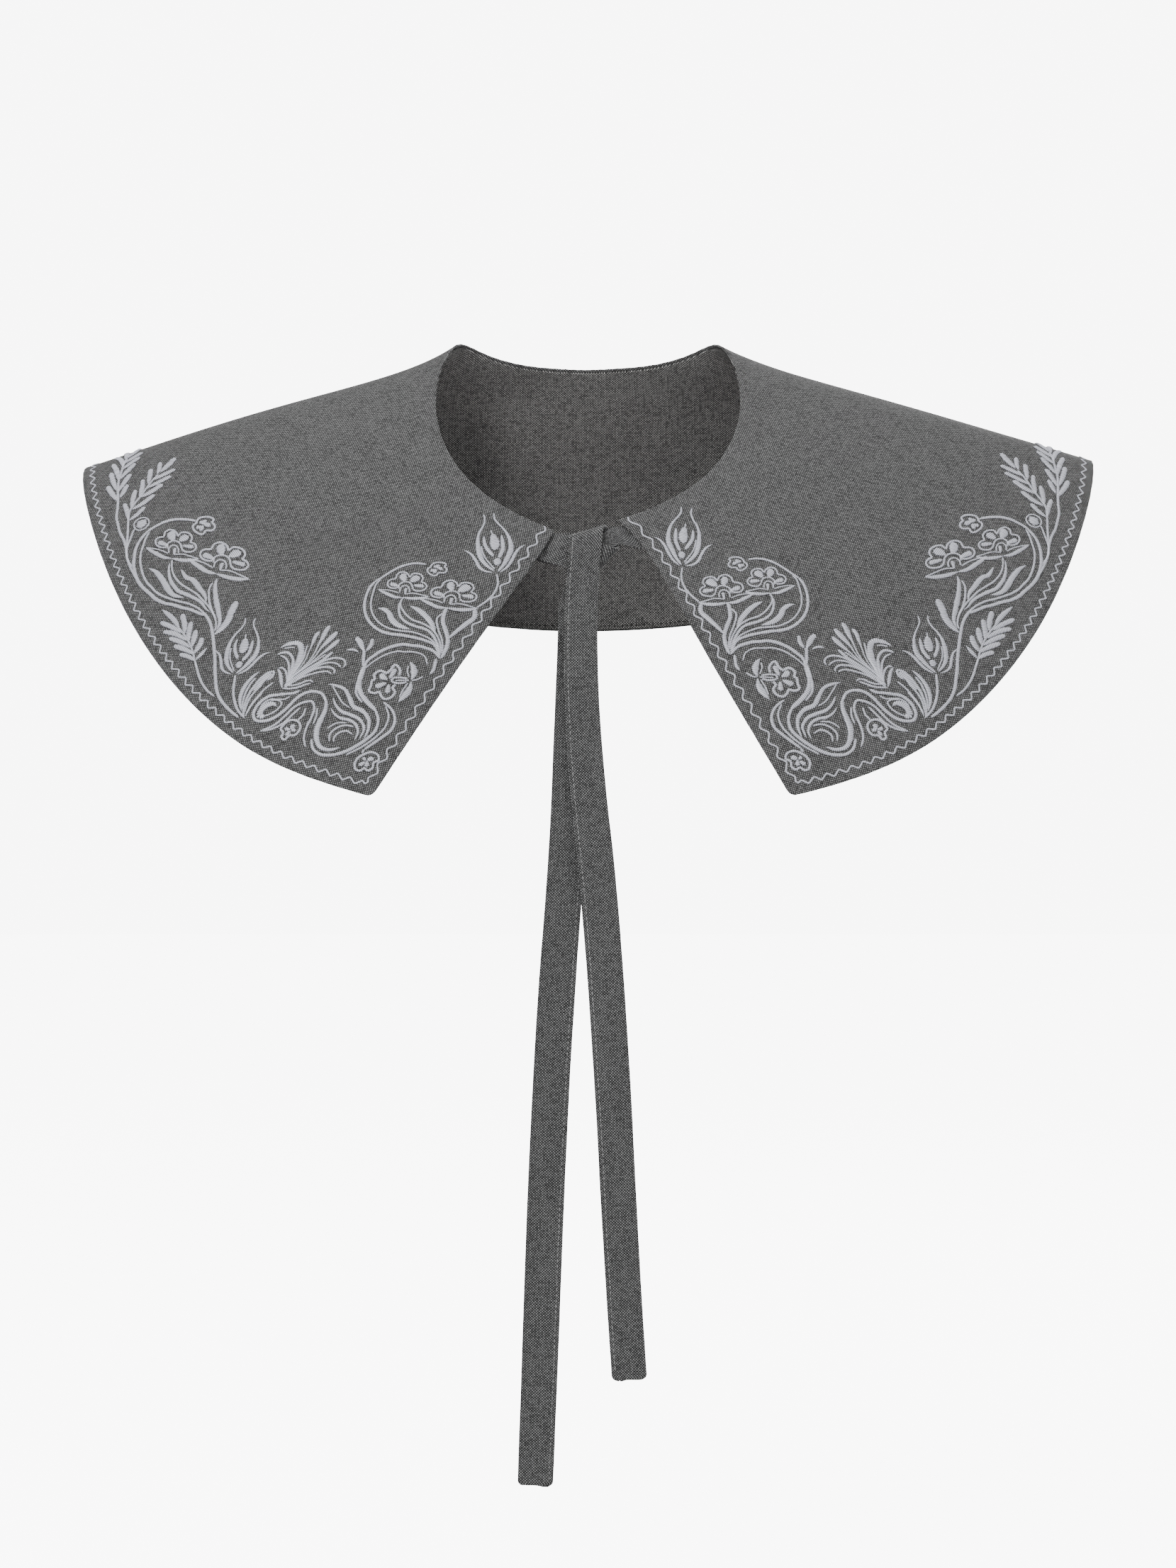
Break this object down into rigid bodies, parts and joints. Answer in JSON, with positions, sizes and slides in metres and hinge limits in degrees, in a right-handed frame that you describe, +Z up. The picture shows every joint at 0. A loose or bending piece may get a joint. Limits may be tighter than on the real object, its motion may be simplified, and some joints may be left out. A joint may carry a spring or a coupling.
{
  "type": "embroidered linen collar with ties",
  "caption": "Wide detachable linen collar that drapes over the shoulders, with a white embroidered border and two flat ties knotted at the front of the neck.",
  "frame": {"origin": "middle of the neck opening, level with the two high points of the neck edge on the shoulders", "axes": "+Z up, front toward -Y, +X to the right seen from the front"},
  "size_m": [0.4643, 0.225, 0.5172],
  "materials": {
    "linen": "woven grey linen",
    "facing_linen": "woven grey linen, inner side",
    "tie_linen": "woven grey linen strap",
    "thread": "pale satin-stitched thread"
  },
  "bodies": {
    "root": {"top_collar": "linen", "collar_facing": "facing_linen", "left_tie": "tie_linen", "right_tie": "tie_linen"}
  },
  "joints": []
}
